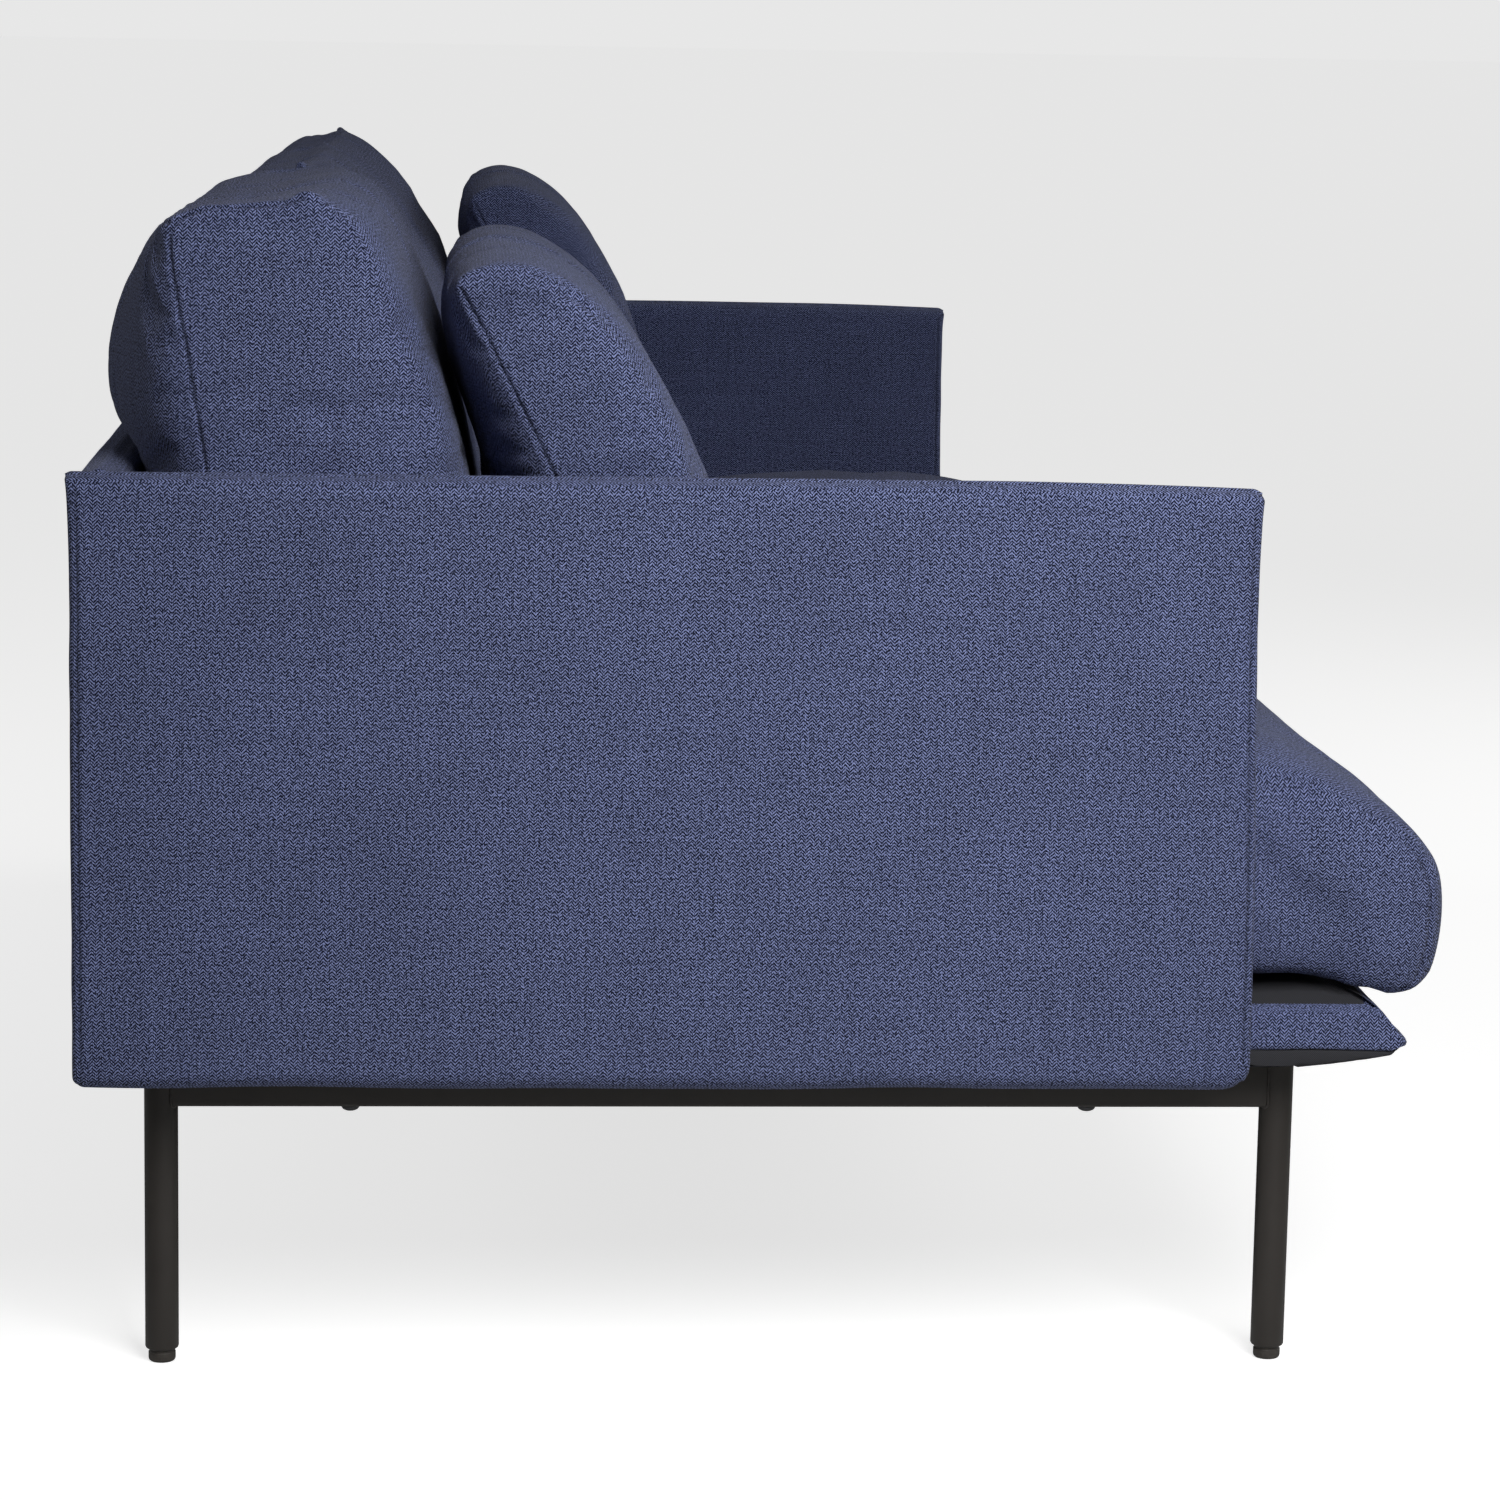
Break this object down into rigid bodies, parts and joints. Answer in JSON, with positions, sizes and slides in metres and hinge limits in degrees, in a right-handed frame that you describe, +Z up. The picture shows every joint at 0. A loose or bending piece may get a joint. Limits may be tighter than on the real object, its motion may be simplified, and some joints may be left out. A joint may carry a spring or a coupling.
{
  "type": "daybed sofa",
  "caption": "Deep daybed sofa in navy herringbone fabric: thin padded arms and back, low base on round black steel legs, bench seat, loose back cushions and pillows that lift off.",
  "frame": {"origin": "centre of the bounding box on the floor, under the four glides", "axes": "+X along the length of the sofa towards its right end as seen from the front, +Y towards its back, +Z up; the seat faces -Y"},
  "size_m": [2.16, 1.01, 0.8847],
  "materials": {
    "upholstery_fabric": "matte",
    "foam": "matte",
    "timber": "matte",
    "webbing": "matte",
    "lining_cloth": "matte",
    "black_steel": "satin",
    "zinc_screw": "satin",
    "glide_plastic": "matte",
    "zip_tape": "matte"
  },
  "bodies": {
    "frame": {"arm_board_left": "timber", "arm_board_right": "timber", "arm_cover_left": "upholstery_fabric", "arm_cover_right": "upholstery_fabric", "arm_screw_left_1": "zinc_screw", "arm_screw_left_2": "zinc_screw", "arm_screw_right_1": "zinc_screw", "arm_screw_right_2": "zinc_screw", "back_board": "timber", "back_cover": "upholstery_fabric", "back_rail": "black_steel", "back_screw_left": "zinc_screw", "back_screw_right": "zinc_screw", "base_board_back": "timber", "base_board_centre": "timber", "base_board_front": "timber", "base_board_left": "timber", "base_board_right": "timber", "base_cover": "upholstery_fabric", "base_foam": "foam", "base_foam_front": "foam", "crossbar": "black_steel", "crossbar_screw_1": "black_steel", "crossbar_screw_2": "black_steel", "dust_lining": "lining_cloth", "end_rail_left": "black_steel", "end_rail_right": "black_steel", "front_rail": "black_steel", "glide_back_left": "glide_plastic", "glide_back_right": "glide_plastic", "glide_front_left": "glide_plastic", "glide_front_right": "glide_plastic", "leg_back_left": "black_steel", "leg_back_right": "black_steel", "leg_front_left": "black_steel", "leg_front_right": "black_steel", "rail_screw_left_1": "black_steel", "rail_screw_left_2": "black_steel", "rail_screw_right_1": "black_steel", "rail_screw_right_2": "black_steel", "webbing_1": "webbing", "webbing_2": "webbing", "webbing_3": "webbing", "webbing_4": "webbing", "webbing_5": "webbing", "webbing_6": "webbing"},
    "seat_cushion": {"seat_cushion_cover": "upholstery_fabric", "seat_cushion_filling": "foam", "seat_cushion_zip": "zip_tape"},
    "back_cushion_left": {"back_cushion_left_cover": "upholstery_fabric", "back_cushion_left_filling": "foam"},
    "back_cushion_middle": {"back_cushion_middle_cover": "upholstery_fabric", "back_cushion_middle_filling": "foam"},
    "back_cushion_right": {"back_cushion_right_cover": "upholstery_fabric", "back_cushion_right_filling": "foam"},
    "pillow_left": {"pillow_left_cover": "upholstery_fabric", "pillow_left_filling": "foam"},
    "pillow_right": {"pillow_right_cover": "upholstery_fabric", "pillow_right_filling": "foam"}
  },
  "joints": [
    {"name": "seat_cushion_lift", "type": "slide", "parent": "frame", "child": "seat_cushion", "axis": [0, 0, 1], "range_m": [0, 0.42]},
    {"name": "back_cushion_left_lift", "type": "slide", "parent": "seat_cushion", "child": "back_cushion_left", "axis": [0, 0.1564, 0.9877], "range_m": [0, 0.46]},
    {"name": "back_cushion_middle_lift", "type": "slide", "parent": "seat_cushion", "child": "back_cushion_middle", "axis": [0, 0.1564, 0.9877], "range_m": [0, 0.46]},
    {"name": "back_cushion_right_lift", "type": "slide", "parent": "seat_cushion", "child": "back_cushion_right", "axis": [0, 0.1564, 0.9877], "range_m": [0, 0.46]},
    {"name": "pillow_left_lift", "type": "slide", "parent": "back_cushion_left", "child": "pillow_left", "axis": [0, 0.342, 0.9397], "range_m": [0, 0.44]},
    {"name": "pillow_right_lift", "type": "slide", "parent": "back_cushion_right", "child": "pillow_right", "axis": [0, 0.342, 0.9397], "range_m": [0, 0.44]}
  ]
}
